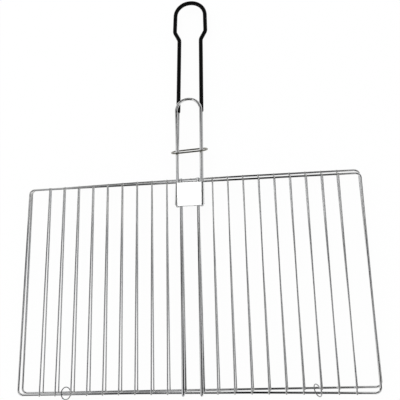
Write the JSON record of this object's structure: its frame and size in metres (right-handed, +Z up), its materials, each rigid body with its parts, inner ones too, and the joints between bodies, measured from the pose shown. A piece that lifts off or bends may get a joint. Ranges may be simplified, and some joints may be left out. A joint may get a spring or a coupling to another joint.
{
  "type": "double grill grate",
  "caption": "Hinged pair of rectangular wire grates that hold food between them, with a long dipped wire handle, a short wire loop and a sliding lock ring.",
  "frame": {"origin": "bottom centre of the closed part's outer box, level with the bottoms of the hinge rings", "axes": "+Z up out of the upper grate, +Y from the hinge edge towards the long handle, +X to the right seen from above with the handle pointing away"},
  "size_m": [0.4528, 0.5531, 0.0185],
  "materials": {
    "plated_wire": "bright, slightly uneven plating",
    "plate_sheet": "bright plated sheet",
    "dipped_coat": "smooth dipped vinyl, half gloss"
  },
  "bodies": {
    "lower_grate": {"lower_frame": "plated_wire", "lower_spine_left": "plated_wire", "lower_spine_right": "plated_wire", "lower_plate": "plate_sheet", "long_handle": "plated_wire", "grip_coat": "dipped_coat", "lower_bar_01": "plated_wire", "lower_bar_02": "plated_wire", "lower_bar_03": "plated_wire", "lower_bar_04": "plated_wire", "lower_bar_05": "plated_wire", "lower_bar_06": "plated_wire", "lower_bar_07": "plated_wire", "lower_bar_08": "plated_wire", "lower_bar_09": "plated_wire", "lower_bar_10": "plated_wire", "lower_bar_11": "plated_wire", "lower_bar_12": "plated_wire", "lower_bar_13": "plated_wire", "lower_bar_14": "plated_wire", "lower_bar_15": "plated_wire", "lower_bar_16": "plated_wire", "lower_bar_17": "plated_wire", "lower_bar_18": "plated_wire"},
    "hinge_ring_left": {"hinge_ring_left": "plated_wire"},
    "hinge_ring_right": {"hinge_ring_right": "plated_wire"},
    "upper_grate": {"upper_frame": "plated_wire", "upper_spine_left": "plated_wire", "upper_spine_right": "plated_wire", "upper_plate": "plate_sheet", "upper_loop": "plated_wire", "upper_bar_01": "plated_wire", "upper_bar_02": "plated_wire", "upper_bar_03": "plated_wire", "upper_bar_04": "plated_wire", "upper_bar_05": "plated_wire", "upper_bar_06": "plated_wire", "upper_bar_07": "plated_wire", "upper_bar_08": "plated_wire", "upper_bar_09": "plated_wire", "upper_bar_10": "plated_wire", "upper_bar_11": "plated_wire", "upper_bar_12": "plated_wire", "upper_bar_13": "plated_wire", "upper_bar_14": "plated_wire", "upper_bar_15": "plated_wire", "upper_bar_16": "plated_wire", "upper_bar_17": "plated_wire", "upper_bar_18": "plated_wire"},
    "lock_ring": {"lock_ring": "plated_wire"}
  },
  "joints": [
    {"name": "ring_left_swing", "type": "hinge", "parent": "lower_grate", "child": "hinge_ring_left", "pos_m": [-0.16375, -0.26652, 0.00356], "axis": [1, 0, 0], "range_deg": [0, 90]},
    {"name": "upper_open", "type": "hinge", "parent": "hinge_ring_left", "child": "upper_grate", "pos_m": [-0.16374, -0.26813, 0.01066], "axis": [0.9999, -0.0105, 0], "range_deg": [0, 90]},
    {"name": "ring_right_swing", "type": "hinge", "parent": "lower_grate", "child": "hinge_ring_right", "pos_m": [0.1489, -0.26652, 0.00356], "axis": [1, 0, 0], "range_deg": [0, 90]},
    {"name": "lock_slide", "type": "slide", "parent": "lower_grate", "child": "lock_ring", "axis": [0.027, 0.9996, 0], "range_m": [-0.032, 0.164]}
  ],
  "couplings": [
    {"joint": "upper_open", "follows": "ring_left_swing", "ratio": 1},
    {"joint": "ring_right_swing", "follows": "ring_left_swing", "ratio": 1}
  ]
}
